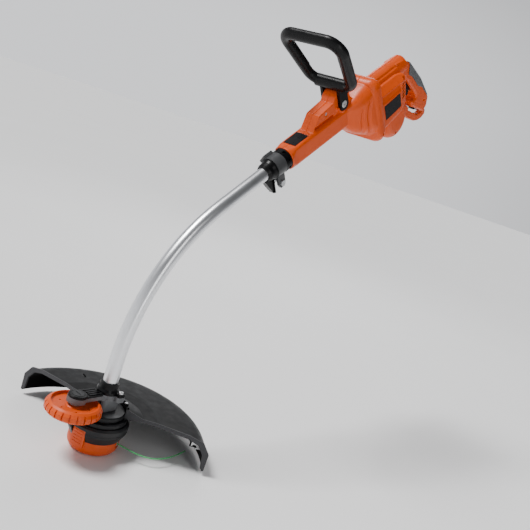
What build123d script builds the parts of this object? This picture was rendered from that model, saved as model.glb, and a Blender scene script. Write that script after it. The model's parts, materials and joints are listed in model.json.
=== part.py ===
from build123d import *
import math
import os

# Corded string trimmer. Millimetres. Origin: centre of the flat foot of the spool cap, on the head's
# spin axis. +Z up along that axis, +Y rearwards to the user, X across; the guide wheel is at -Y.
# The upper unit (neck, motor, handles) has its own axes: s along the upper tube, h square to it in the
# symmetry plane, x across. upper() takes a solid from (s, h, x) to the part's frame.

# --- tube ---------------------------------------------------------------------------------------
TUBE_R = 12.5
TUBE_WALL = 1.5
BEND_R = 359.0
UPPER_SLOPE = 39.6          # degrees above the horizontal
BEND_START_Z = 146.7
TUBE_FOOT_Z = 93.0
TUBE_TOP_S = 245.0
RUNNING = 0.08              # radial clearance of running fits

# --- head ---------------------------------------------------------------------------------------
CAP_R = 42.0
CAP_H = 24.7
CAP_WALL = 2.4
CLIP_ANGLE = -79.0          # the second clip is opposite
BELL_R = 49.5
BELL_FOOT_Z = 25.0
BELL_TOP_Z = 53.0
RING_LOW_R = 44.0
RING_HIGH_R = 38.0
RING_TOP_Z = 70.0
GUARD_SEAT_Z = 60.5
SPINDLE_R = 5.0
BEARING_R = 11.0
NECK_TOP_Z = 92.0
LINE_R = 1.0
EYELET_ANGLE = 27.5
EYELET_Z = 20.0

# --- guard --------------------------------------------------------------------------------------
GUARD_FROM = 40.0           # degrees about Z
GUARD_SPAN = 144.0
GUARD_R = 187.5
GUARD_FOOT_Z = 8.0
GUARD_WALL = 2.6
GUARD_SCREW_R = 41.2
GUARD_SCREW_ANGLES = (73.25, 104.25, 150.75)
CUTTER_ANGLE = 49.0
CUTTER_Z = 40.0
CUTTER_SCREW_R = (166, 175)

# --- guide wheel --------------------------------------------------------------------------------
WHEEL_Y = -61.5
ARM_END_Y = -60.0
WHEEL_R = 44.5
WHEEL_LOW_Z = 71.5
WHEEL_TOP_Z = 88.8
WHEEL_DISH_Z = 84.0
WHEEL_LIP_R = 37.3
TREAD_GROOVES = 24
AXLE_R = 4.0

# --- neck, clamp and motor housing (s along the tube, h square to it) ----------------------------
CLAMP_S = 114.0
COLLAR_S = 134.0
RING_S = 158.0
NECK_S = 172.0
SOCKET_END_S = 250.0
HUB_R = 17.2
TAB_TURN = -50.7            # where the collar's thumb tab stands, about the tube from the top
SHELL_WALL = 2.6
MOTOR_S = 285.0
MOTOR_TILT = -11.0          # of the motor axis below the tube axis, in degrees
STATOR_R = 34.0
SPINE_H = 12.0
SPINE_R = 20.5
GRIP_HALF = 17.0
BODY_HALF = 40.0

# --- bail handle --------------------------------------------------------------------------------
PIVOT_S = 332.0
PIVOT_H = 36.0
FIN_HALF = 15.0
FIN_BOSS_R = 27.5
EAR_IN = 16.3
EAR_THICK = 6.0
BAIL_R = 11.0

# --- cord outlet at the lower end of the grip ----------------------------------------------------
OUTLET_Y = 676.0
CORD_HOLE_R = 3.75
OUTLET_LOW = (-13.0, 650.0, 712.0)
OUTLET_HIGH = (13.0, 702.0, 727.0)
PLATE_LOW_Z = 722.0
PLATE_TOP_Z = 725.5

BEND = math.radians(90 - UPPER_SLOPE)
SLOPE = math.radians(UPPER_SLOPE)
BEND_END = Vector(0, BEND_R * (1 - math.cos(BEND)), BEND_START_Z + BEND_R * math.sin(BEND))
TUBE_DIR = Vector(0, math.cos(SLOPE), math.sin(SLOPE))
UPPER = Plane(origin=BEND_END, x_dir=TUBE_DIR, z_dir=(1, 0, 0)).location
MOTOR_AXIS = Pos(MOTOR_S, 0, 0) * Rot(0, 0, MOTOR_TILT) * Rot(0, 90, 0)
S_AXIS = Rot(0, 90, 0)      # turns a solid built about Z onto the s axis

os.makedirs("parts", exist_ok=True)


# --- helpers ------------------------------------------------------------------------------------
def upper(shape):
    return UPPER * shape


def save(name, shape):
    export_step(shape, f"parts/{name}.step")


def lathe(points):
    """Solid of revolution about Z from (radius, height) points."""
    return revolve(Plane.XZ * make_face(Polyline(*points, close=True)), Axis.Z)


def ring(r_in, r_out, low, high):
    return lathe([(r_in, low), (r_out, low), (r_out, high), (r_in, high)])


def rod(radius, low, high):
    """Cylinder about Z from height low to height high."""
    return Pos(0, 0, low) * Cylinder(radius, high - low, align=(Align.CENTER, Align.CENTER, Align.MIN))


def span_box(low, high):
    """Box between two opposite corners."""
    size = [b - a for a, b in zip(low, high)]
    middle = [(a + b) / 2 for a, b in zip(low, high)]
    return Pos(*middle) * Box(*size)


def plate(points, x_from, x_to, corner=0.0):
    """Outline in (s, h), rounded at its corners, given thickness along x."""
    face = make_face(Polyline(*points, close=True))
    if corner:
        face = fillet(face.vertices(), corner)
    return Pos(0, 0, x_from) * extrude(face, x_to - x_from)


def section(s, top_half, low_half, low, high, corner):
    """Rounded trapezium across the upper axis at station s."""
    outline = [(-top_half, high), (top_half, high), (low_half, low), (-low_half, low)]
    face = fillet(make_face(Polyline(*outline, close=True)).vertices(), corner)
    return Plane(origin=(s, 0, 0), x_dir=(0, 0, -1), z_dir=(1, 0, 0)) * face


def hull(stations, inset, ruled=False):
    """Body through (s, top half, low half, low, high, corner) stations, shrunk by inset all round."""
    ends = [inset] + [0] * (len(stations) - 2) + [-inset]
    return loft([section(s + shift, top_half - inset, low_half - inset, low + inset, high - inset,
                         max(corner - inset, 2))
                 for shift, (s, top_half, low_half, low, high, corner) in zip(ends, stations)], ruled=ruled)


# --- cutting head: the parts that spin ----------------------------------------------------------
def spool_cap():
    outside = fillet(rod(CAP_R, 0, CAP_H).edges().sort_by(Axis.Z)[0], 13)
    inside = fillet(rod(CAP_R - CAP_WALL, CAP_WALL, CAP_H + 1).edges().sort_by(Axis.Z)[0], 11)
    cap = outside - inside
    clip_plan = ring(42.4, 45.4, 14, 43)
    wedge = Pos(44, 0, 28) * Box(12, 25, 40)
    finger = clip_plan & wedge
    for level in range(5):
        finger += ring(45.2, 46.2, 19 + 5 * level, 21 + 5 * level) & (Pos(45, 0, 28) * Box(10, 17, 40))
    foot = ring(39.9, 45.4, 14, 18) & wedge
    for angle in (CLIP_ANGLE, CLIP_ANGLE + 180):
        cap += Rot(0, 0, angle) * (finger + foot)
    notch = Rot(0, 0, EYELET_ANGLE) * span_box((36, -6, 13), (46, 6, CAP_H + 1))
    return cap - notch


def spool_housing():
    shell = lathe([(SPINDLE_R, 10), (8.0, 10), (8.0, 50), (46.0, 50), (47.1, 48.5), (47.1, 39.5),
                   (39.4, 27.4), (36.8, 27.4), (36.8, 12.5), (39.2, 12.5), (39.2, BELL_FOOT_Z),
                   (42.2, BELL_FOOT_Z), (BELL_R, 39), (BELL_R, 50), (46.5, BELL_TOP_Z),
                   (SPINDLE_R, BELL_TOP_Z)])
    shell -= ring(BELL_R - 0.6, BELL_R + 1, 41.5, 42.5)
    window = span_box((40, -14, 13), (52, 14, 45.5))
    for angle in (CLIP_ANGLE, CLIP_ANGLE + 180):
        shell -= Rot(0, 0, angle) * window
    eyelet_hole = Pos(0, 0, EYELET_Z) * S_AXIS * rod(3.05, 30, 45)
    return shell - Rot(0, 0, EYELET_ANGLE) * eyelet_hole


def line_eyelet():
    sleeve = ring(1.6, 3.0, 36.0, 40.0) + ring(1.6, 4.6, 39.5, 41.2)
    return Rot(0, 0, EYELET_ANGLE) * Pos(0, 0, EYELET_Z) * S_AXIS * sleeve


def spindle():
    shaft = rod(SPINDLE_R - 0.02, 8, 98)
    flange = ring(SPINDLE_R - 0.1, 9.0, BELL_TOP_Z, 56)
    return shaft + flange - span_box((-2, -2, 86), (2, 2, 99))


def spindle_nut():
    nut = extrude(RegularPolygon(7.5, 6), 4) - rod(SPINDLE_R, -1, 5)
    return Pos(0, 0, 5.8) * nut


def helix_spring(radius, wire, turns, height):
    path = Helix(pitch=height / turns, height=height, radius=radius)
    return sweep(Plane(origin=path @ 0, z_dir=path % 0) * Circle(wire), path)


def spool_spring():
    return Pos(0, 0, 35.5) * helix_spring(12, 0.8, 4, 13.0)


def line_spool():
    return lathe([(8.0 + RUNNING, 10.5), (16, 10.5), (35, 10.5), (35, 12.5), (16, 12.5), (16, 31.5),
                  (35, 31.5), (35, 33.5), (8.0 + RUNNING, 33.5)])


def wound_line():
    coil = ring(16.1, 29, 12.7, 31.3)
    for level in range(9):
        coil -= Pos(0, 0, 13.7 + 2 * level) * Torus(30.2, 1.6)
    return coil


LINE_ROUTE = [(34.5, 18, 20), (50, 26, 17.5), (69, 35, 15.5), (88, 50, 14.5), (95, 74, 13.5),
              (95, 102, 13), (90, 131, 13)]


def bend_radii(route):
    """Largest arc that each corner of a cord's route has room for."""
    radii = []
    for before, corner, after in zip(route, route[1:], route[2:]):
        first = Vector(*corner) - Vector(*before)
        second = Vector(*after) - Vector(*corner)
        half_turn = math.radians(first.get_angle(second)) / 2
        radii.append(0.45 * min(first.length, second.length) / math.tan(half_turn))
    return radii


def cutting_line():
    radii = bend_radii(LINE_ROUTE)
    path = FilletPolyline(*LINE_ROUTE, radius=radii)
    tube = sweep(Plane(origin=path @ 0, z_dir=path % 0) * Circle(LINE_R), path)
    print("cutting line: length", round(path.length, 1), "arc radii", [round(r, 1) for r in radii])
    print("cutting line: volume", round(tube.volume, 1), "section x length",
          round(math.pi * LINE_R ** 2 * path.length, 1))
    return tube


# --- cutting head: the parts that stay with the tube ---------------------------------------------
def bearing(low, high, r_in):
    """Ball bearing drawn as one closed ring with its two seal grooves."""
    race = ring(r_in, BEARING_R, low, high)
    for face in (low, high):
        race -= ring(r_in + 1.6, BEARING_R - 1.6, face - 0.5, face + 0.5)
    return race


def head_housing():
    bore = BEARING_R + 0.02
    body = lathe([(20, 54.2), (RING_LOW_R, 54.2), (RING_LOW_R, 59.9), (43.4, GUARD_SEAT_Z),
                  (36, GUARD_SEAT_Z), (36, 61.8), (RING_HIGH_R, 62.4), (RING_HIGH_R, 68.5),
                  (36.5, RING_TOP_Z), (9, RING_TOP_Z), (9, 66.6), (bore, 66.6), (bore, 57.5), (20, 57.5)])
    neck = Pos(0, 2.5, 0) * extrude(RectangleRounded(31, 36, 8), NECK_TOP_Z - RING_TOP_Z)
    body += Pos(0, 0, RING_TOP_Z) * neck
    arm = span_box((-13, -60, 90), (13, 12, 98.5))
    body += arm - span_box((-20, -70, 80), (-9, -20, 92)) - span_box((9, -70, 80), (20, -20, 92))
    body += Pos(0, ARM_END_Y, 0) * fillet(rod(15.6, 89, 98.5).edges().sort_by(Axis.Z)[0], 1.5)
    body += ring(11, 17.5, 90, 98.5)
    slot = span_box((-9, -17, 82), (9, -12, 87))
    body -= slot
    body -= rod(9, 65, 78)
    body -= rod(bore, 77.5, 86.6)
    body -= rod(SPINDLE_R + 1.2, 84, 99)
    for angle in GUARD_SCREW_ANGLES:
        body -= Rot(0, 0, angle) * Pos(GUARD_SCREW_R, 0, 0) * rod(1.6, 55.6, 62)
    body -= rod(TUBE_R, TUBE_FOOT_Z, 99)
    return body - Pos(0, WHEEL_Y, 0) * rod(AXLE_R + 0.02, 80, 98.0)


def arm_cover():
    strip = span_box((-12, -58, 98.5), (12, -18.5, 101))
    for level in range(4):
        strip += span_box((-9.5 + 5.4 * level, -44, 101), (-6.5 + 5.4 * level, -20, 102.4))
    lid = Pos(0, ARM_END_Y, 0) * fillet(rod(15.0, 98.5, 102.6).edges().sort_by(Axis.Z)[-1], 1.8)
    return strip + lid - Pos(0, ARM_END_Y, 0) * rod(10.2, 100.6, 104)


def arm_cap():
    disc = fillet(rod(10.0, 100.6, 103.2).edges().sort_by(Axis.Z)[-1], 1.0)
    return Pos(0, ARM_END_Y, 0) * (disc - span_box((-6, -0.8, 102.6), (6, 0.8, 104)))


def wheel_axle():
    screw = rod(AXLE_R, 71.6, 98) + rod(8.5, 69.2, 71.2) + rod(AXLE_R, 71, 72)
    return Pos(0, WHEEL_Y, 0) * (screw - span_box((-5, -0.6, 69), (5, 0.6, 70)))


def wheel_bush():
    return Pos(0, WHEEL_Y, 0) * ring(AXLE_R + RUNNING, 6.5, 71.6, 84.6)


def edge_wheel():
    tread = lathe([(6.5, 71.6), (12, 71.6), (14, 76), (34, 76), (36, WHEEL_LOW_Z), (41, WHEEL_LOW_Z),
                   (WHEEL_R, 75), (WHEEL_R, 82), (41.5, 86.5), (WHEEL_LIP_R + 0.8, WHEEL_TOP_Z),
                   (WHEEL_LIP_R - 0.8, WHEEL_TOP_Z), (35.5, WHEEL_DISH_Z), (13, WHEEL_DISH_Z - 1),
                   (11, 84.6), (6.5, 84.6)])
    for index in range(TREAD_GROOVES):
        turn = Rot(0, 0, index * 360 / TREAD_GROOVES)
        tread -= turn * span_box((WHEEL_R - 3.2, -1.1, 70), (WHEEL_R + 2, 1.1, 90))
    for index in range(6):
        tread -= Rot(0, 0, 60 * index + 30) * Pos(24, 0, 0) * rod(1.6, 70, 90)
    return Pos(0, WHEEL_Y, 0) * tread


def tube_collar():
    cone = lathe([(TUBE_R + 0.02, 98.5), (18.5, 98.5), (18.5, 103), (16.4, 107), (15.2, 117),
                  (TUBE_R + 0.02, 117)])
    ears = span_box((-27, 2, 98.5), (27, 14, 104)) - rod(16, 90, 110)
    ears = fillet(ears.edges().filter_by(Axis.Z), 2)
    collar = cone + ears
    for side in (-1, 1):
        collar -= Pos(22 * side, 8, 0) * rod(2.0, 90, 110)
    return collar - rod(TUBE_R + 0.02, 90, 120)


def collar_screws():
    screw = rod(1.98, 92.5, 104) + fillet(rod(4.2, 104, 107.2).edges().sort_by(Axis.Z)[-1], 1.2)
    screw -= span_box((-2.6, -0.5, 106), (2.6, 0.5, 108)) + span_box((-0.5, -2.6, 106), (0.5, 2.6, 108))
    return Compound([Pos(22 * side, 8, 0) * screw for side in (-1, 1)])


def screw_lugs():
    """Lugs of the head housing that take the collar screws."""
    lugs = span_box((-27, 2, 90), (27, 14, 98.5)) - span_box((-15, 0, 80), (15, 20, 110))
    for side in (-1, 1):
        lugs -= Pos(22 * side, 8, 0) * rod(2.0, 92, 110)
    return lugs


def guard_profile():
    """Radial section of the guard: hub cone, web and skirt, as an (r, z) face."""
    top = Polyline((RING_HIGH_R + 0.1, 76), (43, 76), (48, 74), (68, 66), (92, 66), (150, 60.5))
    crown = Spline((150, 60.5), (172, 53.5), (184, 38), (GUARD_R, GUARD_FOOT_Z),
                   tangents=[(58, -5.5), (0.4, -10)])
    foot = Line((GUARD_R, GUARD_FOOT_Z), (GUARD_R - GUARD_WALL, GUARD_FOOT_Z))
    under = Spline((GUARD_R - GUARD_WALL, GUARD_FOOT_Z), (181.4, 37), (170.4, 51.2), (149.8, 57.9),
                   tangents=[(-0.4, 10), (-58, 5.5)])
    back = Polyline((149.8, 57.9), (92, 63.4), (62, 63.4), (46.5, 62.4), (44.5, GUARD_SEAT_Z),
                    (RING_HIGH_R + 0.1, GUARD_SEAT_Z), (RING_HIGH_R + 0.1, 76))
    return make_face(top + crown + foot + under + back)


def guard():
    start = Rot(0, 0, GUARD_FROM)
    fan = start * revolve(Plane.XZ * guard_profile(), Axis.Z, GUARD_SPAN)
    lip_face = guard_lip_face()
    for angle in (GUARD_FROM, GUARD_FROM + GUARD_SPAN - 1.2):
        fan += Rot(0, 0, angle) * revolve(Plane.XZ * lip_face, Axis.Z, 1.2)
    for index in range(9):
        tooth = Rot(0, 0, GUARD_FROM + 10 + 15.5 * index) * span_box((39.2, -2.2, 75), (42, 2.2, 78.5))
        fan += tooth
    slot = Rot(0, 0, 154.6) * span_box((118, -1.4, 50), (135, 1.4, 75))
    fan -= slot
    for angle in GUARD_SCREW_ANGLES:
        fan -= Rot(0, 0, angle) * Pos(GUARD_SCREW_R, 0, 0) * rod(1.6, 60, 80)
    rib = span_box((158, 1.1, 32), (186, 4.1, 60)) & fan_limit()
    for reach in CUTTER_SCREW_R:
        rib -= Pos(reach, 0, CUTTER_Z) * Rot(90, 0, 0) * rod(1.2, -5, 0)
    for angle in (30, 70, 105):
        fan += Rot(0, 0, GUARD_FROM + angle) * (span_box((90, -1, 50), (184, 1, 66)) & fan_limit())
    return fan + Rot(0, 0, CUTTER_ANGLE) * rib


def fan_limit():
    """Room inside the guard's outer surface, for ribs under its web."""
    return lathe([(40, 10), (186, 10), (182.5, 36), (171, 51.5), (150, 59), (92, 64.5), (40, 64.5)])


def guard_lip_face():
    """Section of the thick lip along each radial edge of the guard, in (r, z)."""
    points = [(45.5, 60), (62, 61.6), (92, 61.6), (149.6, 56.2), (168, 49.5), (178.5, 36),
              (181.5, 12), (188.8, 8), (189.4, 38), (176, 56), (150.4, 62.6), (92, 68), (68, 68),
              (52, 73), (45.5, 73)]
    return make_face(Polyline(*points, close=True))


def guard_screws():
    screw = rod(1.58, 56, 76.2) + fillet(rod(3.0, 76, 78).edges().sort_by(Axis.Z)[-1], 0.8)
    screw -= span_box((-1.8, -0.4, 77.2), (1.8, 0.4, 79)) + span_box((-0.4, -1.8, 77.2), (0.4, 1.8, 79))
    return Compound([Rot(0, 0, angle) * Pos(GUARD_SCREW_R, 0, 0) * screw for angle in GUARD_SCREW_ANGLES])


def line_cutter():
    """Steel blade on a rib under the guard that trims the line to length."""
    room = lathe([(100, 0), (180.5, 0), (179.5, 34), (168, 46), (100, 46)])
    blade = span_box((160, -0.9, 30), (180, 1.1, 46)) & room
    blade -= Pos(160, 0, 28) * Rot(0, 45, 0) * Box(8, 6, 24)
    for reach in CUTTER_SCREW_R:
        blade -= Pos(reach, 0, CUTTER_Z) * Rot(90, 0, 0) * rod(1.2, -5, 5)
    return Rot(0, 0, CUTTER_ANGLE) * blade


def cutter_screws():
    screw = rod(1.18, -3.6, 1.0) + fillet(rod(2.6, 0.9, 2.4).edges().sort_by(Axis.Z)[-1], 0.6)
    screw -= span_box((-1.7, -0.35, 1.8), (1.7, 0.35, 3))
    seats = [Rot(0, 0, CUTTER_ANGLE) * Pos(reach, 0, CUTTER_Z) * Rot(90, 0, 0) for reach in CUTTER_SCREW_R]
    return Compound([seat * screw for seat in seats])


# --- tube and drive line -------------------------------------------------------------------------
def along_tube(radius, z_low, s_high):
    """Round bar that follows the tube's axis from height z_low to station s_high."""
    straight = rod(radius, z_low, BEND_START_Z)
    centre = Axis((0, BEND_R, BEND_START_Z), (-1, 0, 0))
    disc = Pos(0, 0, BEND_START_Z) * Circle(radius)
    bend = revolve(disc, centre, 90 - UPPER_SLOPE)
    top = upper(S_AXIS * rod(radius, 0, s_high))
    return straight + bend + top


def shaft_tube():
    return along_tube(TUBE_R, TUBE_FOOT_Z, TUBE_TOP_S) - along_tube(TUBE_R - TUBE_WALL, 90, 250)


def drive_liner():
    return along_tube(5.0, 100, 255) - along_tube(3.6, 99, 256)


def drive_core():
    core = along_tube(3.0, 101, 290)
    return core + rod(1.9, 86.5, 102)


def liner_spacers():
    spacer = ring(5.05, TUBE_R - TUBE_WALL - 0.05, -4, 4)
    low = Pos(0, 0, 125) * spacer
    high = [upper(Pos(s, 0, 0) * S_AXIS * spacer) for s in (30, 120, 232)]
    return Compound([low] + high)


# --- clamp between tube and housing ---------------------------------------------------------------
def clamp_body():
    bore = TUBE_R + RUNNING
    sleeve = lathe([(bore, CLAMP_S), (14.5, CLAMP_S), (17.0, 119), (17.6, 126), (19.2, 131),
                    (19.2, COLLAR_S), (HUB_R, COLLAR_S), (HUB_R, RING_S), (16.6, RING_S),
                    (16.6, NECK_S), (15.3, NECK_S), (15.3, SOCKET_END_S), (7, SOCKET_END_S),
                    (7, 246), (bore, 246)])
    gusset = plate([(110, -13.5), (128, -48), (COLLAR_S, -50), (COLLAR_S, -14)], -6, 6)
    gusset -= span_box((126, -47, 3.5), (132, -20, 7)) + span_box((126, -47, -7), (132, -20, -3.5))
    gusset -= S_AXIS * rod(bore, 90, 140)
    return upper(S_AXIS * sleeve + gusset)


def lock_collar():
    low, high = COLLAR_S + 0.4, RING_S - 0.4
    band = S_AXIS * ring(HUB_R + RUNNING, 20.3, low, high)
    ear = [(137, -14), (155, -14), (155, -34), (151, -42), (141, -42), (137, -34)]
    collar = band + plate(ear, 8, 13, 3) + plate(ear, -13, -8, 3)
    collar += Rot(TAB_TURN, 0, 0) * tab_at_top(low, high)
    collar -= S_AXIS * rod(HUB_R + RUNNING, low - 20, high + 20)
    collar -= Pos(146, -33, 0) * rod(3.0, -20, 20)
    return upper(collar)


def tab_at_top(low, high):
    """Thumb tab of the collar, standing on its h side before it is turned round the band."""
    block = span_box((low - 1, 19.0, -8), (high - 1, 25.0, 8))
    block = fillet(block.edges().filter_by(Axis.Z), 1.8)
    for level in range(4):
        block -= span_box((low + 3 + 4.5 * level, 24.4, -9), (low + 4.5 + 4.5 * level, 26, 9))
    return block


def clamp_bolt():
    bolt = rod(2.98, -13, 13) + Pos(0, 0, 13) * extrude(RegularPolygon(6.2, 6), 3.2)
    bolt += rod(5.6, -16, -13)
    return upper(Pos(146, -33, 0) * bolt)


def neck_ring():
    collar = ring(16.7, 21.0, RING_S + 0.2, NECK_S - 0.2)
    for index in range(8):
        notch = Rot(0, 0, 22 + 45 * index) * span_box((18.2, -3.4, RING_S + 4), (23, 3.4, RING_S + 10))
        collar -= notch
    return upper(S_AXIS * collar)


# --- housing: outer form, shrunk by inset for the hollow inside ------------------------------------
NECK_STATIONS = [(NECK_S, 22, 22, -22, 22, 19), (186, 20, 20, -18, 20, 6), (400, 21, 21, -19, 20, 6)]
BULGE_STATIONS = [(342, 21, 21, -22, 20, 7), (360, 30, 32, -44, 27, 16), (388, 36, 46, -61, 38, 26),
                  (412, 38, 51, -79, 42, 26)]
FLANGE_STATIONS = [(403, 38, 50, -79, 42, 22), (416, 40, 54, -87, 47, 20), (430, 38, 50, -82, 43, 20)]
BODY_STATIONS = [(422, BODY_HALF - 1, BODY_HALF, -80, 16, 12), (505, BODY_HALF - 1, BODY_HALF, -68, 16, 12),
                 (526, BODY_HALF - 5, BODY_HALF - 4, -60, 12, 10)]
GRIP_OUTLINE = [(520, 30), (548, 28), (577, 8), (622, -48), (655, -106), (649, -126), (634, -136),
                (588, -101), (584, -87), (604, -83), (570, -33), (548, -8), (520, -8)]
FIN_OUTLINE = [(230, 10), (246, 25), (264, 43), (306, 47), (350, 50), (370, 26), (384, 10)]


def fin(half):
    block = plate(FIN_OUTLINE, -half, half, 4)
    return block + Pos(PIVOT_S, PIVOT_H, 0) * rod(FIN_BOSS_R, -half, half)


def bump(inset):
    """Rounded end of the motor room, below the body."""
    drum = Pos(496, -80, 0) * rod(42 - inset, -36 + inset, 36 - inset)
    return fillet(drum.edges(), 18)


def spine(inset):
    return Pos(0, SPINE_H, 0) * S_AXIS * rod(SPINE_R - inset, 420 + inset, 556 - inset)


def grip_form(inset):
    face = make_face(Polyline(*GRIP_OUTLINE, close=True))
    face = fillet(face.vertices(), 4)
    if inset:
        half = GRIP_HALF - inset - 1.5
        return Pos(0, 0, -half) * extrude(offset(face, -inset), 2 * half)
    block = Pos(0, 0, -GRIP_HALF) * extrude(face, 2 * GRIP_HALF)
    rims = block.faces().sort_by(Axis.Z)[-1].edges() + block.faces().sort_by(Axis.Z)[0].edges()
    return fillet(rims, 5.5)


def hook_bar():
    """Cord retainer: bar from the body to below the inlet, with the slit for the cord's loop."""
    return plate([(522, -66), (540, -64), (556, -75), (580, -97), (592, -110), (600, -122), (618, -136),
                  (634, -143), (645, -142), (651, -137), (659, -145), (657, -154), (643, -158), (626, -156),
                  (609, -149), (578, -124), (562, -104), (522, -84)], -7, 7, 2.0)


def housing_form(inset):
    form = hull(NECK_STATIONS, inset, ruled=True) + hull(BULGE_STATIONS, inset) + hull(FLANGE_STATIONS, inset)
    form += hull(BODY_STATIONS, inset, ruled=True) + bump(inset) + spine(inset) + grip_form(inset)
    return form


def pocket(points, depth, corner=0.0):
    """Matching shallow pockets in both flat sides of the motor body."""
    low = BODY_HALF - depth
    return plate(points, low, BODY_HALF + 8, corner) + plate(points, -BODY_HALF - 8, -low, corner)


BADGE = [(440, -20), (499, -17), (503, -49), (446, -54)]


def trigger_room():
    """Opening in the underside of the grip for the trigger and its travel."""
    return plate([(559, -9), (591, -9), (599, -41), (591, -79), (559, -79)], -8, 8)


def vents():
    """Diagonal air slots along the rear edge of both sides of the body."""
    slots = []
    for index in range(5):
        low = -5 - 7 * index
        outline = [(508, low), (522, low + 3), (522, low - 0.4), (508, low - 3.4)]
        slots += [plate(outline, 28, 60), plate(outline, -60, -28)]
    return slots


def housing():
    room = housing_form(SHELL_WALL - 1)
    form = housing_form(0) + fin(FIN_HALF)
    rim = rod(17, -20, 20) - rod(13.4, -21, 21) - span_box((-20, -2, -25), (25, 25, 25))
    form += Pos(PIVOT_S, PIVOT_H, 0) * (rim - span_box((8, -20, -25), (25, 25, 25)))
    form -= housing_form(SHELL_WALL)
    form -= S_AXIS * rod(15.5, 165, 186) + S_AXIS * rod(16.8, 160, NECK_S)
    form += motor_seats() & room
    for s, h in SCREW_SPOTS:
        form += Pos(s, h, 0) * rod(5.5, -45, 45) & room
    for s, h in SCREW_SPOTS:
        form -= Pos(s, h, 0) * (rod(1.6, -14, 12) + rod(3.5, 11, 60))
    form += hook_bar()
    form -= pocket([(430, 3), (496, 3.5), (509, 0), (504, -12), (446, -15), (434, -12)], 1.5, 2)
    form -= pocket(BADGE, 1.2, 2)
    for slot in vents():
        form -= slot
    for side in (-1, 1):
        form -= span_box((248, 21, side * 13 - 3), (306, 26, side * 13 + 3))
        form -= span_box((200, 2, side * 21.0 - 0.8), (335, 3, side * 21.0 + 0.8))
    form -= Pos(PIVOT_S, PIVOT_H, 0) * rod(4.1, -30, 30)
    form -= span_box((190, 19.4, -14), (230, 22, 14))
    form -= trigger_room()
    form -= Pos(*TRIGGER_PIVOT, 0) * rod(2.02, -14.3, 14.3)
    form -= outlet_room(0)
    return form


def outlet_room(gap):
    """Room for the end plate in the lower end of the grip, in the upper unit's axes."""
    low = [side + gap for side in OUTLET_LOW]
    high = [side - gap for side in OUTLET_HIGH]
    return UPPER.inverse() * span_box(low, high)


def motor_seats():
    """Bulkheads that hold the stator and the two bearings."""
    seats = ring(STATOR_R + 0.05, 80, 128, 131) + ring(STATOR_R + 0.05, 80, 163, 166)
    seats += ring(BEARING_R + 0.02, 80, 104, 108) + ring(BEARING_R + 0.02, 80, 201, 205)
    for index in range(8):
        opening = Rot(0, 0, 45 * index + 22) * Pos(22, 0, 0)
        seats -= opening * rod(5, 102, 110) + opening * rod(5, 200, 206)
    return MOTOR_AXIS * seats


def housing_half(form, side):
    half = span_box((100, -200, 0), (720, 120, 80)) if side > 0 else span_box((100, -200, -80), (720, 120, 0))
    return upper(form & half)


SCREW_SPOTS = [(285, 36), (440, 12), (519, 6), (490, -108), (420, -69), (636, -106)]


def housing_screws():
    screw = rod(1.58, -12, 11.2) + rod(3.2, 11.1, 13.4) - span_box((-2.2, -0.4, 12.6), (2.2, 0.4, 14))
    return upper(Compound([Pos(s, h, 0) * screw for s, h in SCREW_SPOTS]))


def top_badge():
    return upper(span_box((190.4, 19.4, -13.6), (229.6, 20.4, 13.6)))


def side_badges():
    face = offset(fillet(make_face(Polyline(*BADGE, close=True)).vertices(), 2), -0.3)
    low = BODY_HALF - 1.2
    return upper(Compound([Pos(0, 0, low) * extrude(face, 1.0), Pos(0, 0, -low) * extrude(face, -1.0)]))


SOFT_OUTLINE = [(574, 30), (566, -13), (580, -24), (606, -58), (622, -68), (644, -97), (668, -106),
                (668, -70), (620, -10), (592, 30)]


def soft_grip():
    """Rubber skin over the back of the grip, standing a little proud of it."""
    face = fillet(make_face(Polyline(*SOFT_OUTLINE, close=True)).vertices(), 2)
    outer = make_face(Polyline(*GRIP_OUTLINE, close=True))
    outer = offset(fillet(outer.vertices(), 4), 1.8)
    half = GRIP_HALF + 1.8
    skin = Pos(0, 0, -half) * extrude(outer, 2 * half)
    skin = chamfer(skin.faces().sort_by(Axis.Z)[-1].edges() + skin.faces().sort_by(Axis.Z)[0].edges(), 5)
    skin &= Pos(0, 0, -30) * extrude(face, 60)
    skin -= grip_form(0) + spine(0)
    return upper(skin)


def outlet_plate():
    """Black end plate of the grip, with the hole for the cord gland."""
    slab = outlet_room(0.2) & UPPER.inverse() * span_box((-20, 640, PLATE_LOW_Z), (20, 710, PLATE_TOP_Z))
    slab -= UPPER.inverse() * Pos(0, OUTLET_Y, 0) * rod(7.1, 700, 740)
    return upper(slab & grip_form(0.5))


def cord_gland():
    bush = ring(CORD_HOLE_R, 7.0, 719.5, 736) + ring(CORD_HOLE_R, 9.5, 725.8, 728.8)
    return Pos(0, OUTLET_Y, 0) * bush


def cord_clamp():
    bar = span_box((-9, OUTLET_Y - 4, 738), (9, OUTLET_Y + 4, 742))
    return bar - Pos(0, OUTLET_Y, 0) * rod(CORD_HOLE_R, 730, 750)


def terminal_block():
    block = Pos(621, -82, 0) * Rot(0, 0, -57) * span_box((-11, -6, -9), (11, 4, 9))
    for offset_s in (-6, 6):
        block -= Pos(621, -82, 0) * Rot(0, 0, -57) * Pos(offset_s, 0, 0) * rod(1.8, -10, 10)
    return upper(block)


# --- motor ---------------------------------------------------------------------------------------
def motor(shape):
    return upper(MOTOR_AXIS * shape)


def motor_stator():
    stack = ring(25, STATOR_R, 126, 172)
    for index in range(4):
        stack -= Rot(0, 0, 90 * index) * Pos(STATOR_R - 3, 0, 0) * rod(1.6, 120, 180)
    return motor(stack)


def field_windings():
    ends = []
    for low, high in ((118.5, 125.8), (172.2, 179.5)):
        coil = ring(24.8, 31, low, high)
        coil -= span_box((-3, -40, 100), (3, 40, 200))
        ends += coil.solids()
    return motor(Compound(ends))


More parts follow.
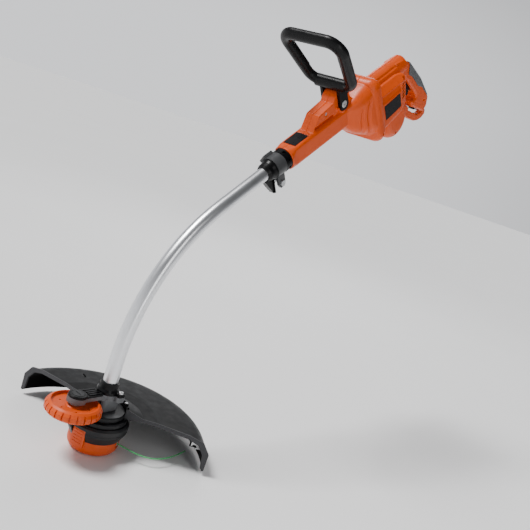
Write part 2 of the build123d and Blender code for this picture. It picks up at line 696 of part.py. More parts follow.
def rotor_shaft():
    """Motor shaft with the socket at its front end that drives the flexible core."""
    shaft = rod(4.0, 14, 232)
    socket = rod(7.0, -6, 30) - rod(4.4, -7, 12)
    shoulder = rod(4.98, 100, 112) + rod(4.98, 198, 209)
    return motor(shaft + socket + shoulder)


def armature():
    core = ring(4.0, 23.6, 127, 171)
    for index in range(12):
        core -= Rot(0, 0, 30 * index) * span_box((18, -1.6, 120), (25, 1.6, 175))
    ends = ring(4.0, 19, 119, 127) + ring(4.0, 19, 171, 179)
    return motor(core + ends)


def commutator():
    bars = ring(4.0, 11, 182, 196)
    for index in range(12):
        bars -= Rot(0, 0, 30 * index) * span_box((10, -0.3, 180), (12, 0.3, 197))
    return motor(bars)


def cooling_fan():
    fan = ring(4.0, 8, 212, 226) + ring(8, 30, 212, 214)
    for index in range(9):
        blade = span_box((7.5, -0.8, 213.5), (30, 0.8, 225))
        fan += Rot(0, 0, 40 * index) * blade & rod(30, 212, 226)
    return motor(fan)


def brush_holders():
    holder = span_box((13, -5, 183), (33, 5, 201)) - span_box((12, -3, 185), (34, 3, 194))
    return motor(Compound([Rot(0, 0, turn) * holder for turn in (0, 180)]))


def carbon_brushes():
    brush = span_box((11.1, -2.9, 185.1), (26, 2.9, 193.9))
    return motor(Compound([Rot(0, 0, turn) * brush for turn in (0, 180)]))


def motor_bearing(low):
    return motor(bearing(low, low + 7, 4.98 + 0.03))


# --- trigger and switch ----------------------------------------------------------------------------
TRIGGER_PIVOT = (579, -20)
PLUNGER_REACH = 7.0
GRIP_FRAME = Pos(611.4, -62.3, 0) * Rot(0, 0, -57.1)    # middle of the grip, its first axis along it


def trigger():
    lever = plate([(566, -24), (568, -42), (573, -67), (580, -71), (586, -59), (591, -43), (588, -19),
                   (584, -12), (574, -12)], -7, 7, 2)
    lever = chamfer(lever.faces().sort_by(Axis.Z)[-1].edges() + lever.faces().sort_by(Axis.Z)[0].edges(),
                    0.8)
    return upper(lever - Pos(*TRIGGER_PIVOT, 0) * rod(2.0 + RUNNING, -10, 10))


def trigger_pin():
    return upper(Pos(*TRIGGER_PIVOT, 0) * rod(2.0, -14.2, 14.2))


def trigger_spring():
    """Torsion spring on the pin beside the trigger, its coils closed up."""
    coils = [Pos(*TRIGGER_PIVOT, 9.2 + 1.3 * turn) * Torus(3.4, 0.6) for turn in range(3)]
    return upper(Compound(coils))


def switch_block():
    """Mains switch; its plunger ends just short of the fully pulled trigger."""
    block = span_box((-24, 1, -8), (10, 12, 8))
    plunger = Pos(-19, 0, 0) * Rot(90, 0, 0) * rod(2.4, -1.5, PLUNGER_REACH)
    return upper(GRIP_FRAME * (block + plunger))


# --- bail handle -----------------------------------------------------------------------------------
BAIL_LOW = (327.0, 76.0)
BAIL_TOP = (271.0, 187.0)
BAIL_LOW_X = 46.0
BAIL_TOP_X = 64.0


def bail_frame():
    """Plane of the bail's loop: x across, y up the loop."""
    up_s, up_h = BAIL_TOP[0] - BAIL_LOW[0], BAIL_TOP[1] - BAIL_LOW[1]
    length = math.hypot(up_s, up_h)
    normal = (up_h / length, -up_s / length, 0)
    return Plane(origin=(*BAIL_LOW, 0), x_dir=(0, 0, 1), z_dir=normal), length


def bail_handle():
    frame, rise = bail_frame()
    corners = [(-BAIL_LOW_X, 0), (BAIL_LOW_X, 0), (BAIL_TOP_X, rise), (-BAIL_TOP_X, rise)]
    if (frame.y_dir.dot(Vector(BAIL_TOP[0] - BAIL_LOW[0], BAIL_TOP[1] - BAIL_LOW[1], 0))) < 0:
        corners = [(x, -y) for x, y in corners]
    outline = fillet(make_face(Polyline(*corners, close=True)).vertices(), 25)
    path = (frame * outline).wire()
    profile = Plane(origin=path @ 0, z_dir=path % 0) * Ellipse(BAIL_R, BAIL_R - 1)
    loop = sweep(profile, path)
    barrel = Pos(*BAIL_LOW, 0) * rod(12, -34, 34)
    ear = plate([(320, 36), (344, 36), (340, 76), (316, 76)], EAR_IN, EAR_IN + EAR_THICK)
    ear += Pos(PIVOT_S, PIVOT_H, EAR_IN) * rod(12.5, 0, EAR_THICK)
    handle = loop + barrel + ear + mirror(ear, Plane.XY)
    handle -= Pos(PIVOT_S, PIVOT_H, 0) * rod(FIN_BOSS_R + 0.4, -EAR_IN, EAR_IN)
    handle -= Pos(PIVOT_S, PIVOT_H, 0) * (rod(4.1, -40, 40) + rod(7.5, 19.5, 40) + rod(7.5, -40, -19.5))
    return upper(handle)


def bail_bolt():
    bolt = rod(4.0, -21.5, 19.6) + fillet(rod(7.2, 19.6, 22.6).edges().sort_by(Axis.Z)[-1], 1)
    return upper(Pos(PIVOT_S, PIVOT_H, 0) * (bolt - span_box((-4, -0.7, 21.4), (4, 0.7, 23))))


def bail_nut():
    nut = extrude(RegularPolygon(7.0, 6), 2.8) - rod(4.0, -1, 4)
    return upper(Pos(PIVOT_S, PIVOT_H, -22.4) * nut)


# --- write every piece ------------------------------------------------------------------------------
def main():
    save("spool_cap", spool_cap())
    save("spool_housing", spool_housing())
    save("line_eyelet", line_eyelet())
    save("spindle", spindle())
    save("spindle_nut", spindle_nut())
    save("spool_spring", spool_spring())
    save("line_spool", line_spool())
    save("wound_line", wound_line())
    save("cutting_line", cutting_line())
    save("spindle_bearing_lower", bearing(57.6, 66.6, SPINDLE_R + 0.01))
    save("spindle_bearing_upper", bearing(77.6, 86.6, SPINDLE_R + 0.01))
    save("head_housing", head_housing() + screw_lugs())
    save("arm_cover", arm_cover())
    save("arm_cap", arm_cap())
    save("wheel_axle", wheel_axle())
    save("wheel_bush", wheel_bush())
    save("edge_wheel", edge_wheel())
    save("tube_collar", tube_collar())
    save("collar_screws", collar_screws())
    save("guard", guard())
    save("guard_screws", guard_screws())
    save("line_cutter", line_cutter())
    save("cutter_screws", cutter_screws())
    save("shaft_tube", shaft_tube())
    save("drive_liner", drive_liner())
    save("drive_core", drive_core())
    save("liner_spacers", liner_spacers())
    save("clamp_body", clamp_body())
    save("lock_collar", lock_collar())
    save("clamp_bolt", clamp_bolt())
    save("neck_ring", neck_ring())
    shells = housing()
    save("housing_right", housing_half(shells, 1))
    save("housing_left", housing_half(shells, -1))
    save("housing_screws", housing_screws())
    save("top_badge", top_badge())
    save("side_badges", side_badges())
    save("soft_grip", soft_grip())
    save("outlet_plate", outlet_plate())
    save("cord_gland", cord_gland())
    save("cord_clamp", cord_clamp())
    save("terminal_block", terminal_block())
    save("motor_stator", motor_stator())
    save("field_windings", field_windings())
    save("brush_holders", brush_holders())
    save("carbon_brushes", carbon_brushes())
    save("motor_bearing_front", motor_bearing(102.5))
    save("motor_bearing_rear", motor_bearing(199.5))
    save("rotor_shaft", rotor_shaft())
    save("armature", armature())
    save("commutator", commutator())
    save("cooling_fan", cooling_fan())
    save("trigger", trigger())
    save("trigger_pin", trigger_pin())
    save("trigger_spring", trigger_spring())
    save("switch_block", switch_block())
    save("bail_handle", bail_handle())
    save("bail_bolt", bail_bolt())
    save("bail_nut", bail_nut())


main()
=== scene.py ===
import json
import math
import bmesh
import bpy
import numpy as np
from mathutils import Matrix, Vector


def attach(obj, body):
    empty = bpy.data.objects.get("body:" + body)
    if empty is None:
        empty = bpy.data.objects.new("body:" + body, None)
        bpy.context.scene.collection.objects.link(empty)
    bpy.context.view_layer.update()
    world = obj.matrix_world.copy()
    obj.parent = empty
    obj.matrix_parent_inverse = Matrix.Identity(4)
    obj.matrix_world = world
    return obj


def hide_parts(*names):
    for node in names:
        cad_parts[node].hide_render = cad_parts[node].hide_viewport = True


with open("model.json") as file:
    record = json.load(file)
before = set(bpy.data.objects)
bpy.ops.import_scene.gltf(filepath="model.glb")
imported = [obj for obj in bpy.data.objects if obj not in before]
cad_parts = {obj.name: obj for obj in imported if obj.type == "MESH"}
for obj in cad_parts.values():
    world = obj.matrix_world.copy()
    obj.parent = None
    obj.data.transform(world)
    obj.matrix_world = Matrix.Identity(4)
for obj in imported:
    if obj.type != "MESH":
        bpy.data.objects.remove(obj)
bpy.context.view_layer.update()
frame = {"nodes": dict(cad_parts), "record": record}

NODES = frame["nodes"]

# Axes of the upper unit: s along the upper tube, h above it, x across it. Stations in them are in
# millimetres from the end of the tube's bend, as in the CAD.
SLOPE = math.radians(39.6)
BEND_R, BEND_START_Z = 0.359, 0.1467
BEND = math.pi / 2 - SLOPE
BEND_END = Vector((0, BEND_R * (1 - math.cos(BEND)), BEND_START_Z + BEND_R * math.sin(BEND)))
TUBE_DIR = Vector((0, math.cos(SLOPE), math.sin(SLOPE)))
TUBE_UP = Vector((0, -math.sin(SLOPE), math.cos(SLOPE)))
ACROSS = Vector((1, 0, 0))
FOOT_S, FOOT_H = BEND_END.dot(TUBE_DIR), BEND_END.dot(TUBE_UP)
LINE_RADIUS = 0.001

# --- camera --------------------------------------------------------------------------------------
CAMERA_LENS = 46.07
CAMERA_PLACE = (0.7106, -0.7554, 0.5684)
CAMERA_RIGHT = (0.7564, 0.5726, 0.3163)
CAMERA_UP = (-0.3645, -0.0326, 0.9306)
CAMERA_BACK = (0.5432, -0.8192, 0.1840)
camera_data = bpy.data.cameras.new("camera")
camera_data.sensor_width = 36.0
camera_data.lens = CAMERA_LENS
camera = bpy.data.objects.new("camera", camera_data)
bpy.context.scene.collection.objects.link(camera)
turn = Matrix((CAMERA_RIGHT, CAMERA_UP, CAMERA_BACK)).transposed().to_4x4()
camera.matrix_world = Matrix.Translation(CAMERA_PLACE) @ turn
bpy.context.scene.camera = camera

# --- cutting line ---------------------------------------------------------------------------------
LINE_ROUTE = [(34.5, 18, 20), (50, 26, 17.5), (69, 35, 15.5), (88, 50, 14.5), (95, 74, 13.5),
              (95, 102, 13), (90, 131, 13)]
line_curve = bpy.data.curves.new("free_line", "CURVE")
line_curve.dimensions = "3D"
line_curve.resolution_u = 16
line_curve.bevel_depth = 1.0        # times each point's radius
line_curve.bevel_resolution = 5
line_curve.use_fill_caps = True
spline = line_curve.splines.new("NURBS")
spline.points.add(len(LINE_ROUTE) - 1)
for point, place in zip(spline.points, LINE_ROUTE):
    point.co = (place[0] / 1000, place[1] / 1000, place[2] / 1000, 1)
    point.radius = LINE_RADIUS
spline.order_u = 3
spline.use_endpoint_u = True
free_line = bpy.data.objects.new("free_line", line_curve)
bpy.context.scene.collection.objects.link(free_line)
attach(free_line, "head")
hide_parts("cutting_line")


# --- materials ------------------------------------------------------------------------------------
class Graph:
    """Node tree of one material, with the few nodes that every finish here uses."""

    def __init__(self, name):
        self.material = bpy.data.materials.new(name)
        self.material.use_nodes = True
        self.tree = self.material.node_tree
        self.shader = self.tree.nodes["Principled BSDF"]
        self.coords = self.tree.nodes.new("ShaderNodeTexCoord").outputs["Object"]

    def link(self, source, target):
        self.tree.links.new(source, target)

    def mapped(self, scale):
        node = self.tree.nodes.new("ShaderNodeMapping")
        node.inputs["Scale"].default_value = scale
        self.link(self.coords, node.inputs["Vector"])
        return node.outputs["Vector"]

    def noise(self, scale, detail=3.0, rough=0.55, coords=None):
        node = self.tree.nodes.new("ShaderNodeTexNoise")
        node.inputs["Scale"].default_value = scale
        node.inputs["Detail"].default_value = detail
        node.inputs["Roughness"].default_value = rough
        self.link(coords or self.coords, node.inputs["Vector"])
        return node.outputs["Fac"]

    def cells(self, scale):
        node = self.tree.nodes.new("ShaderNodeTexVoronoi")
        node.inputs["Scale"].default_value = scale
        self.link(self.coords, node.inputs["Vector"])
        return node.outputs["Distance"]

    def spread(self, source, low, high, from_low=0.3, from_high=0.7):
        node = self.tree.nodes.new("ShaderNodeMapRange")
        node.clamp = True
        limits = {"From Min": from_low, "From Max": from_high, "To Min": low, "To Max": high}
        for socket, value in limits.items():
            node.inputs[socket].default_value = value
        self.link(source, node.inputs["Value"])
        return node.outputs["Result"]

    def math(self, kind, first, second):
        node = self.tree.nodes.new("ShaderNodeMath")
        node.operation = kind
        for socket, value in zip(node.inputs, (first, second)):
            if isinstance(value, (int, float)):
                socket.default_value = value
            else:
                self.link(value, socket)
        return node.outputs["Value"]

    def blend(self, factor, first, second):
        node = self.tree.nodes.new("ShaderNodeMix")
        node.data_type = "RGBA"
        self.link(factor, node.inputs["Factor"])
        for socket, value in ((node.inputs["A"], first), (node.inputs["B"], second)):
            if isinstance(value, tuple):
                socket.default_value = (*value, 1)
            else:
                self.link(value, socket)
        return node.outputs["Result"]

    def bump(self, height, strength, distance, below=None):
        node = self.tree.nodes.new("ShaderNodeBump")
        node.inputs["Strength"].default_value = strength
        node.inputs["Distance"].default_value = distance
        self.link(height, node.inputs["Height"])
        if below is not None:
            self.link(below, node.inputs["Normal"])
        return node.outputs["Normal"]

    def beyond(self, normal, offset, soft=0.0004):
        """1 where the place lies beyond a plane, in metres along normal."""
        node = self.tree.nodes.new("ShaderNodeVectorMath")
        node.operation = "DOT_PRODUCT"
        self.link(self.coords, node.inputs[0])
        node.inputs[1].default_value = normal
        return self.spread(node.outputs["Value"], 0, 1, offset - soft, offset + soft)

    def height_mask(self, low, high):
        """1 at height low, 0 at height high, in metres."""
        node = self.tree.nodes.new("ShaderNodeSeparateXYZ")
        self.link(self.coords, node.inputs["Vector"])
        return self.spread(node.outputs["Z"], 1.0, 0.0, low, high)


def shade(color, factor):
    return tuple(min(value * factor, 1.0) for value in color)


MOTTLE_SCALE = 9.0                 # noise scales are waves per metre
STROKE_SCALE = (90, 1500, 260)
SCUFF_PATCHES = 22.0
GRAIN_SCALE, GRAIN_DEPTH = 1500, 0.00004
DUST_TOP = 0.12
DRY_DUST = (0.30, 0.27, 0.20)


def plastic(name, color, rough, grain=0.2, mottle=0.07, scuffs=0.3, dust=0.0, second=None, mask=None,
            shine=0.32):
    """Moulded plastic: spark-eroded grain, faint mottling, fine scuffs and, low down, dry dust.
    Where mask says 1, the plastic has its second colour."""
    g = Graph(name)
    tint = g.blend(g.spread(g.noise(MOTTLE_SCALE), 0, 1), shade(color, 1 - mottle), shade(color, 1 + mottle))
    if mask:
        other = g.blend(g.spread(g.noise(MOTTLE_SCALE), 0, 1), shade(second, 0.93), shade(second, 1.07))
        tint = g.blend(mask(g), tint, other)
    strokes = g.spread(g.noise(1.0, 4.0, 0.6, g.mapped(STROKE_SCALE)), 0, 1, 0.64, 0.74)
    scratch = g.math("MULTIPLY", strokes, g.spread(g.noise(SCUFF_PATCHES), 0, 1, 0.48, 0.62))
    pale = tuple(0.75 * value + 0.10 for value in color)
    tint = g.blend(g.math("MULTIPLY", scratch, scuffs), tint, pale)
    if dust:
        patches = g.spread(g.noise(38.0, 5.0), 0, dust, 0.42, 0.72)
        tint = g.blend(g.math("MULTIPLY", patches, g.height_mask(0.0, DUST_TOP)), tint, DRY_DUST)
    g.link(tint, g.shader.inputs["Base Color"])
    gloss = g.spread(g.noise(70.0, 4.0), rough - 0.06, rough + 0.08)
    g.link(g.math("ADD", gloss, g.math("MULTIPLY", scratch, 0.15)), g.shader.inputs["Roughness"])
    g.shader.inputs["Specular IOR Level"].default_value = shine
    normal = g.bump(g.noise(GRAIN_SCALE, 2.0), grain, GRAIN_DEPTH)
    g.link(g.bump(g.noise(45.0, 2.0), 0.05, 0.0006, normal), g.shader.inputs["Normal"])
    return g.material


def metal(name, color, rough, streak=(30, 30, 900), brushed=0.12, stain=0.10, wear=0.08):
    """Drawn or machined metal: streaks along one axis and slight dulling."""
    g = Graph(name)
    lines = g.noise(1.0, 3.0, 0.6, g.mapped(streak))
    dull = g.spread(g.noise(26.0, 4.0), 0, 1, 0.35, 0.75)
    g.link(g.blend(dull, color, shade(color, 1 - stain)), g.shader.inputs["Base Color"])
    g.shader.inputs["Metallic"].default_value = 1.0
    streaks = g.spread(lines, rough - 0.6 * wear, rough + 0.8 * wear)
    worn = g.math("ADD", streaks, g.math("MULTIPLY", dull, wear))
    g.link(worn, g.shader.inputs["Roughness"])
    g.link(g.bump(lines, brushed, 0.00005), g.shader.inputs["Normal"])
    return g.material


def rubber(name, color):
    """Soft-touch skin: pebbled, matt, a little polished where the palm rubs."""
    g = Graph(name)
    rubbed = g.spread(g.noise(14.0, 3.0), 0, 1, 0.4, 0.7)
    g.link(g.blend(rubbed, shade(color, 0.88), shade(color, 1.12)), g.shader.inputs["Base Color"])
    g.link(g.spread(rubbed, 0.72, 0.56, 0, 1), g.shader.inputs["Roughness"])
    pebble = g.bump(g.cells(1300), 0.35, 0.0002)
    g.link(g.bump(g.noise(300, 3.0), 0.15, 0.0002, pebble), g.shader.inputs["Normal"])
    g.shader.inputs["Sheen Weight"].default_value = 0.15
    return g.material


def strand(name, color, scale):
    """Wound wire or line, seen as close parallel strands across Z. The darker bands are painted shade in the
    grooves between strands.
    """
    g = Graph(name)
    wave = g.tree.nodes.new("ShaderNodeTexWave")
    wave.bands_direction = "Z"
    wave.inputs["Scale"].default_value = scale
    g.link(g.coords, wave.inputs["Vector"])
    g.link(g.blend(wave.outputs["Fac"], shade(color, 0.6), color), g.shader.inputs["Base Color"])
    g.link(g.spread(g.noise(80.0), 0.3, 0.45), g.shader.inputs["Roughness"])
    g.link(g.bump(wave.outputs["Fac"], 0.5, 0.0004), g.shader.inputs["Normal"])
    return g.material


def line_nylon(name, color):
    """Cutting line: dyed translucent nylon with a darker core and small nicks."""
    g = Graph(name)
    g.link(g.blend(g.spread(g.noise(120.0), 0, 1), shade(color, 0.8), shade(color, 1.25)),
           g.shader.inputs["Base Color"])
    g.link(g.spread(g.noise(400.0), 0.22, 0.42), g.shader.inputs["Roughness"])
    g.shader.inputs["Transmission Weight"].default_value = 0.15
    g.link(g.bump(g.noise(900.0), 0.2, 0.0001), g.shader.inputs["Normal"])
    return g.material


GUARD_EDGES = ((40.0, -1), (184.0, 1))      # degrees about Z, and the side that lies past the edge
LIP_WIDTH = 0.0032
LIP_FOOT_Z = 0.004
HEAD_COLOUR_Z = 0.0702              # above it the head housing is light grey


def guard_lip_painted_highlight(g):
    """Painted highlight: the two radial edges of the guard, painted a lighter grey where light catches them.
    """
    masks = []
    for angle, side in GUARD_EDGES:
        along = math.radians(angle)
        masks.append(g.beyond((side * -math.sin(along), side * math.cos(along), 0), -LIP_WIDTH))
    return g.math("MULTIPLY", g.math("MAXIMUM", *masks), g.beyond((0, 0, 1), LIP_FOOT_Z))


def head_neck(g):
    """The head housing above its dark rings."""
    return g.beyond((0, 0, 1), HEAD_COLOUR_Z)


SLOTS_S = (0.5074, 0.5232)          # the air slots' zone along the body, in metres
SLOTS_H = (-0.056, -0.003)
WALL_INSIDE_X = 0.0368
BODY_TAPER, TAPER_FROM_S = 0.19, 0.507


def vent_painted_shade(g):
    """Painted shade: 1 on the inner faces of the motor body behind the air slots, which are painted near
    black where shade falls inside the shell.
    """
    masks = [g.beyond(tuple(TUBE_DIR), FOOT_S + SLOTS_S[0]),
             g.beyond(tuple(-TUBE_DIR), -(FOOT_S + SLOTS_S[1])),
             g.beyond(tuple(TUBE_UP), FOOT_H + SLOTS_H[0]),
             g.beyond(tuple(-TUBE_UP), -(FOOT_H + SLOTS_H[1]))]
    taper = TUBE_DIR * BODY_TAPER
    rear_wall = -WALL_INSIDE_X - BODY_TAPER * (FOOT_S + TAPER_FROM_S)
    for side in (-1, 1):
        masks.append(g.beyond((side, 0, 0), -WALL_INSIDE_X))
        masks.append(g.beyond((side, -taper.y, -taper.z), rear_wall))
    inside = masks[0]
    for mask in masks[1:]:
        inside = g.math("MULTIPLY", inside, mask)
    return inside


ORANGE = (0.62, 0.066, 0.0)
FINISH = {
    # The orange shell's second colour, near black, is painted shade on the inner faces behind the air slots.
    "orange": plastic("orange_shell", ORANGE, 0.38, grain=0.04, mottle=0.04, scuffs=0.22,
                      second=(0.055, 0.006, 0.0), mask=vent_painted_shade),
    "orange_low": plastic("orange_head", ORANGE, 0.42, grain=0.12, mottle=0.05, scuffs=0.4, dust=0.06),
    "black": plastic("black_shell", (0.003, 0.003, 0.0034), 0.32, grain=0.05, mottle=0.1, scuffs=0.04,
                     shine=0.17),
    # The guard's second colour, a lighter grey on its radial edges, is a painted highlight.
    "black_low": plastic("black_guard", (0.002, 0.002, 0.0023), 0.40, grain=0.10, scuffs=0.04, dust=0.01,
                         second=(0.05, 0.05, 0.053), mask=guard_lip_painted_highlight, shine=0.10),
    "head": plastic("grey_head", (0.009, 0.009, 0.010), 0.36, grain=0.2, mottle=0.04, scuffs=0.2, shine=0.2,
                    second=(0.13, 0.133, 0.138), mask=head_neck),
    "clamp_grey": plastic("grey_clamp", (0.050, 0.051, 0.053), 0.34, grain=0.2, mottle=0.05, scuffs=0.3),
    "dark_grey": plastic("dark_grey_shell", (0.016, 0.0165, 0.018), 0.36, grain=0.22, scuffs=0.3, dust=0.05,
                         shine=0.22),
    "light_grey": plastic("light_grey_shell", (0.36, 0.37, 0.38), 0.45, grain=0.25, mottle=0.04, scuffs=0.3),
    "badge": plastic("badge_plate", (0.009, 0.009, 0.010), 0.32, grain=0.05, scuffs=0.10, shine=0.14),
    "nylon": plastic("natural_nylon", (0.68, 0.67, 0.60), 0.4, grain=0.1, scuffs=0.1),
    "soft_grey": rubber("soft_skin", (0.070, 0.074, 0.080)),
    "tube": metal("satin_tube", (0.78, 0.79, 0.81), 0.30, (40, 40, 8), 0.01, 0.05, 0.02),
    "steel": metal("ground_steel", (0.56, 0.56, 0.57), 0.30),
    "zinc": metal("zinc_plate", (0.66, 0.67, 0.68), 0.34, (400, 400, 400), 0.08, 0.2),
    "brass": metal("brass", (0.70, 0.48, 0.20), 0.35),
    "carbon": plastic("carbon", (0.02, 0.02, 0.022), 0.7, grain=0.5, scuffs=0.0),
    "copper": strand("enamelled_wire", (0.55, 0.20, 0.07), 900),
    "wound": strand("wound_nylon", (0.02, 0.30, 0.09), 240),
    "line": line_nylon("nylon_line", (0.05, 0.42, 0.12)),
}
SPECIAL = {"guard": "black_low", "head_housing": "head", "lock_collar": "clamp_grey",
           "spool_cap": "orange_low", "edge_wheel": "orange_low", "spool_housing": "dark_grey",
           "wound_line": "wound"}        # nodes whose finish isn't simply their slot's
for part in frame["record"]["subparts"]:
    node = part["node"]
    finish = SPECIAL.get(node, part["material_slot"])
    data = NODES[node].data
    data.materials.clear()
    data.materials.append(FINISH.get(finish, FINISH["line"]))
line_curve.materials.append(FINISH["line"])


# --- pieces shaped here -----------------------------------------------------------------------------
def upper(s, h, x):
    """Place in the part's frame from millimetres along the tube, above it and across it."""
    return BEND_END + TUBE_DIR * (s / 1000) + TUBE_UP * (h / 1000) + ACROSS * (x / 1000)


def new_piece(name, mesh, body, slot_name, finish, *nodes):
    piece = bpy.data.objects.new(name, mesh)
    bpy.context.scene.collection.objects.link(piece)
    mesh.materials.clear()
    mesh.materials.append(finish)
    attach(piece, body)
    if nodes:
        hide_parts(*nodes)
    return piece


def softened(node, name, voxel, rounds, finish, body, slot_name):
    """The node's own shape with its moulded edges rounded off."""
    rough = bpy.data.objects.new(name + "_rough", NODES[node].data.copy())
    bpy.context.scene.collection.objects.link(rough)
    remesh = rough.modifiers.new("remesh", "REMESH")
    remesh.mode = "VOXEL"
    remesh.voxel_size = voxel
    smooth = rough.modifiers.new("smooth", "SMOOTH")
    smooth.factor = 0.5
    smooth.iterations = rounds
    mesh = bpy.data.meshes.new_from_object(rough.evaluated_get(bpy.context.evaluated_depsgraph_get()))
    mesh.name = name
    bpy.data.objects.remove(rough)
    for face in mesh.polygons:
        face.use_smooth = True
    return new_piece(name, mesh, body, slot_name, finish, node)


def bell(value, middle, half):
    """1 at middle, falling smoothly to 0 at half either side."""
    return np.clip(1 - ((value - middle) / half) ** 2, 0, 1) ** 1.5


def ramp(value, start, width):
    """0 before start, rising to 1 over width."""
    return np.clip((value - start) / width, 0, 1)


# Hollows of the shells, in millimetres in the upper unit's axes
CRESCENT_S, CRESCENT_BOW = 396, 15          # where the crescents end, and how far they bow forwards
CRESCENT_H, CRESCENT_HALF_H = -22, 46
CRESCENT_FADE = 14
DEEP_CRESCENT = (4, 6.0, 3.2, 46)           # shift, half width, depth, half height
FINE_CRESCENT = (-12, 4.5, 2.4, 34)
CRESCENT_FROM_X = 22
FLUTE_H, FLUTE_HALF, FLUTE_DEPTH = 25.5, 2.6, 1.3
FLUTE_S, FLUTE_FADE = (440, 536), 8
RECESS_S, RECESS_END_FADE, RECESS_DEPTH = (432, 508), 5, 3.4
RECESS_TOP_H, RECESS_TOP_FADE = 3.5, 3
RECESS_FOOT_H, RECESS_FOOT_FADE = -16, 13
RECESS_FROM_X = 33
SHOULDER_OUTER, SHOULDER_INNER = 41.5, 37.8     # where x + h is cut off, on the two sides of the wall
SHOULDER_S, SHOULDER_FADE, SHOULDER_FROM_X = (428, 524), 6, 20


def carve_shell(mesh):
    """Crescent hollows on the swelling before the rim, flutes beside the spine, the recess above the badge
    and the sloped shoulder over it. Both sides of the wall move together where the cut is deep."""
    count = len(mesh.vertices)
    places, normals = np.empty(count * 3), np.empty(count * 3)
    mesh.vertices.foreach_get("co", places)
    mesh.vertex_normals.foreach_get("vector", normals)
    places, normals = places.reshape(-1, 3), normals.reshape(-1, 3)
    offset = (places - np.array(BEND_END)) * 1000
    s, h = offset @ np.array(TUBE_DIR), offset @ np.array(TUBE_UP)
    x = np.abs(offset[:, 0])
    hand_side = np.sign(offset[:, 0])
    facing = hand_side * normals[:, 0]
    off_middle = np.abs(h - CRESCENT_H)
    crescent = CRESCENT_S - CRESCENT_BOW * np.clip(1 - (off_middle / CRESCENT_HALF_H) ** 2, 0, 1)
    depth = np.zeros(count)
    for shift, half_width, deep, half_height in (DEEP_CRESCENT, FINE_CRESCENT):
        fade = np.clip((half_height - off_middle) / CRESCENT_FADE, 0, 1)
        depth += deep * bell(s, crescent + shift, half_width) * fade
    depth *= (x > CRESCENT_FROM_X) * ((facing > 0.25) * 1.0 - (facing < -0.25))
    flute = FLUTE_DEPTH * bell(h, FLUTE_H, FLUTE_HALF) * ramp(s, FLUTE_S[0], FLUTE_FADE)
    flute *= ramp(-s, -FLUTE_S[1], FLUTE_FADE)
    depth += flute * (facing > 0.2)
    places -= normals * (depth / 1000)[:, None]
    ends = ramp(s, RECESS_S[0], RECESS_END_FADE) * ramp(-s, -RECESS_S[1], RECESS_END_FADE)
    recess = RECESS_DEPTH * ends * ramp(-h, -RECESS_TOP_H, RECESS_TOP_FADE)
    recess *= ramp(h, RECESS_FOOT_H, RECESS_FOOT_FADE) * (x > RECESS_FROM_X)
    places[:, 0] -= hand_side * recess / 1000
    outward = facing + normals @ np.array(TUBE_UP) > 0
    shoulder = np.where(outward, SHOULDER_OUTER, SHOULDER_INNER)
    cut = np.clip(np.abs(places[:, 0]) * 1000 + h - shoulder, 0, 12) / 2 * (x > SHOULDER_FROM_X)
    cut *= ramp(s, SHOULDER_S[0], SHOULDER_FADE) * ramp(-s, -SHOULDER_S[1], SHOULDER_FADE)
    places[:, 0] -= hand_side * cut / 1000
    places -= cut[:, None] / 1000 * np.array(TUBE_UP)
    mesh.vertices.foreach_set("co", places.ravel())
    mesh.update()


SHELL_VOXEL, SHELL_ROUNDS = 0.0009, 4
GRIP_VOXEL, GRIP_ROUNDS = 0.0008, 10
for hand in ("right", "left"):
    shell = softened(f"housing_{hand}", f"shell_{hand}", SHELL_VOXEL, SHELL_ROUNDS, FINISH["orange"],
                     "housing", "orange")
    carve_shell(shell.data)
softened("soft_grip", "grip_skin", GRIP_VOXEL, GRIP_ROUNDS, FINISH["soft_grey"], "housing", "soft_grey")


def add_rib(shape, centre, along, inward, radius, thick, spread):
    """Raised rib that hugs the inner side of a round bar."""
    beside = along.cross(inward)
    rings = []
    steps, sides = 14, 6
    for step in range(steps + 1):
        angle = spread * (step / steps - 0.5)
        outward = inward * math.cos(angle) + beside * math.sin(angle)
        taper = thick * math.cos(math.pi * (step / steps - 0.5)) ** 0.5 if 0 < step < steps else thick * 0.15
        spot = centre + outward * radius
        rings.append([shape.verts.new(spot + outward * (taper * math.cos(2 * math.pi * k / sides))
                                      + along * (taper * math.sin(2 * math.pi * k / sides)))
                      for k in range(sides)])
    for first, second in zip(rings, rings[1:]):
        for k in range(sides):
            shape.faces.new((first[k], first[(k + 1) % sides], second[(k + 1) % sides], second[k]))
    shape.faces.new(rings[0][::-1])
    shape.faces.new(rings[-1])


BAIL_LOW, BAIL_TOP = (327.0, 76.0), (271.0, 187.0)
BAIL_LOW_X, BAIL_TOP_X = 46.0, 64.0
BAIL_BAR = 0.0104
RIB_PITCH = 0.0026
RIB_THICK = 0.0008
RIB_SPREAD = math.radians(150)
ribs = bmesh.new()
# Two ends of each straight run of the loop, and the share of its length that is ribbed
runs = [((BAIL_TOP, -BAIL_TOP_X), (BAIL_TOP, BAIL_TOP_X), (0.21, 0.79)),
        ((BAIL_LOW, BAIL_LOW_X), (BAIL_TOP, BAIL_TOP_X), (0.27, 0.76)),
        ((BAIL_LOW, -BAIL_LOW_X), (BAIL_TOP, -BAIL_TOP_X), (0.27, 0.76))]
loop_middle = upper((BAIL_LOW[0] + BAIL_TOP[0]) / 2, (BAIL_LOW[1] + BAIL_TOP[1]) / 2, 0)
for (low_end, low_x), (high_end, high_x), (first_share, last_share) in runs:
    low_place, high_place = upper(*low_end, low_x), upper(*high_end, high_x)
    along = (high_place - low_place).normalized()
    length = (high_place - low_place).length
    towards = loop_middle - (low_place + high_place) / 2
    inward = (towards - along * towards.dot(along)).normalized()
    count = int(length * (last_share - first_share) / RIB_PITCH)
    for index in range(count):
        centre = low_place + along * (length * first_share + index * RIB_PITCH)
        add_rib(ribs, centre, along, inward, BAIL_BAR, RIB_THICK, RIB_SPREAD)
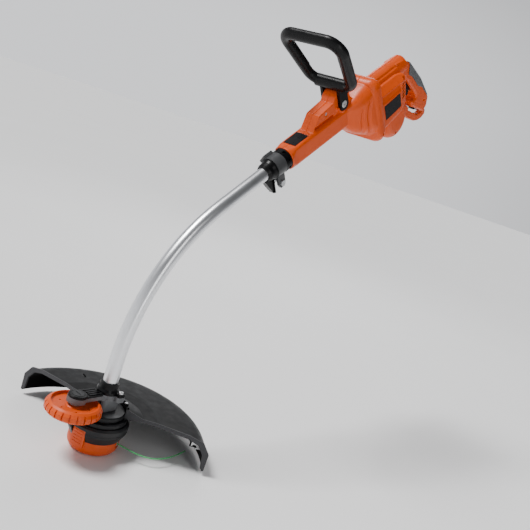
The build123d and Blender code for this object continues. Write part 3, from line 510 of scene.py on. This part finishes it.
bmesh.ops.recalc_face_normals(ribs, faces=ribs.faces)
rib_mesh = bpy.data.meshes.new("bail_ribs")
ribs.to_mesh(rib_mesh)
ribs.free()
for face in rib_mesh.polygons:
    face.use_smooth = True
new_piece("bail_ribs", rib_mesh, "bail", "black", FINISH["black"])

# --- floor, world and lights ----------------------------------------------------------------------
FLOOR_RADIUS = 30
FLOOR_GAP = 0.0005                  # below the spool cap's foot
floor_mesh = bpy.data.meshes.new("floor")
shape = bmesh.new()
bmesh.ops.create_circle(shape, cap_ends=True, segments=96, radius=FLOOR_RADIUS)
shape.to_mesh(floor_mesh)
shape.free()
floor = bpy.data.objects.new("floor", floor_mesh)
floor.location = (0, 0.3, -FLOOR_GAP)
bpy.context.scene.collection.objects.link(floor)
floor_graph = Graph("pale_floor")
floor_graph.link(floor_graph.blend(floor_graph.noise(2.0), (0.86, 0.86, 0.86), (0.90, 0.90, 0.90)),
                 floor_graph.shader.inputs["Base Color"])
floor_graph.link(floor_graph.spread(floor_graph.noise(30.0), 0.55, 0.65),
                 floor_graph.shader.inputs["Roughness"])
floor_mesh.materials.append(floor_graph.material)

world = bpy.data.worlds.new("world")
world.use_nodes = True
sky = world.node_tree
SHADE_SIDE = (0.90, 0.42, 0.0)      # the sky is dimmer on this side


def smooth_range(source, from_low, from_high, to_low, to_high):
    """Smooth step of a value of the sky's nodes."""
    node = sky.nodes.new("ShaderNodeMapRange")
    node.interpolation_type = "SMOOTHSTEP"
    limits = {"From Min": from_low, "From Max": from_high, "To Min": to_low, "To Max": to_high}
    for socket, value in limits.items():
        node.inputs[socket].default_value = value
    sky.links.new(source, node.inputs["Value"])
    return node.outputs["Result"]


direction = sky.nodes.new("ShaderNodeTexCoord").outputs["Generated"]
height = sky.nodes.new("ShaderNodeSeparateXYZ")
sky.links.new(direction, height.inputs["Vector"])
beside = sky.nodes.new("ShaderNodeVectorMath")
beside.operation = "DOT_PRODUCT"
beside.inputs[1].default_value = SHADE_SIDE
sky.links.new(direction, beside.inputs[0])
strength = sky.nodes.new("ShaderNodeMath")
strength.operation = "MULTIPLY"
sky.links.new(smooth_range(height.outputs["Z"], 0.10, 0.55, 1.10, 0.22), strength.inputs[0])
sky.links.new(smooth_range(beside.outputs["Value"], -0.2, 0.75, 1.0, 0.30), strength.inputs[1])
sky.nodes["Background"].inputs["Color"].default_value = (0.96, 0.97, 1.0, 1)
sky.links.new(strength.outputs["Value"], sky.nodes["Background"].inputs["Strength"])
bpy.context.scene.world = world


def area_light(name, place, aim, size, power):
    light = bpy.data.lights.new(name, "AREA")
    light.shape = "RECTANGLE"
    light.size, light.size_y = size
    light.energy = power
    lamp = bpy.data.objects.new(name, light)
    lamp.location = place
    lamp.rotation_euler = (Vector(aim) - Vector(place)).to_track_quat("-Z", "Y").to_euler()
    bpy.context.scene.collection.objects.link(lamp)


SUN_STRENGTH, SUN_SOFTNESS = 4.2, math.radians(18)
SUN_FROM = (-0.45, -0.50, 1.0)
sun = bpy.data.lights.new("sun", "SUN")
sun.energy = SUN_STRENGTH
sun.angle = SUN_SOFTNESS
sun_lamp = bpy.data.objects.new("sun", sun)
sun_lamp.rotation_euler = Vector(SUN_FROM).to_track_quat("Z", "Y").to_euler()
bpy.context.scene.collection.objects.link(sun_lamp)
area_light("strip", (1.6, -0.4, 0.9), (0, 0.4, 0.5), (0.3, 1.4), 7)
area_light("rim", (-1.1, 1.9, 1.6), (0, 0.5, 0.0), (1.2, 0.8), 9)
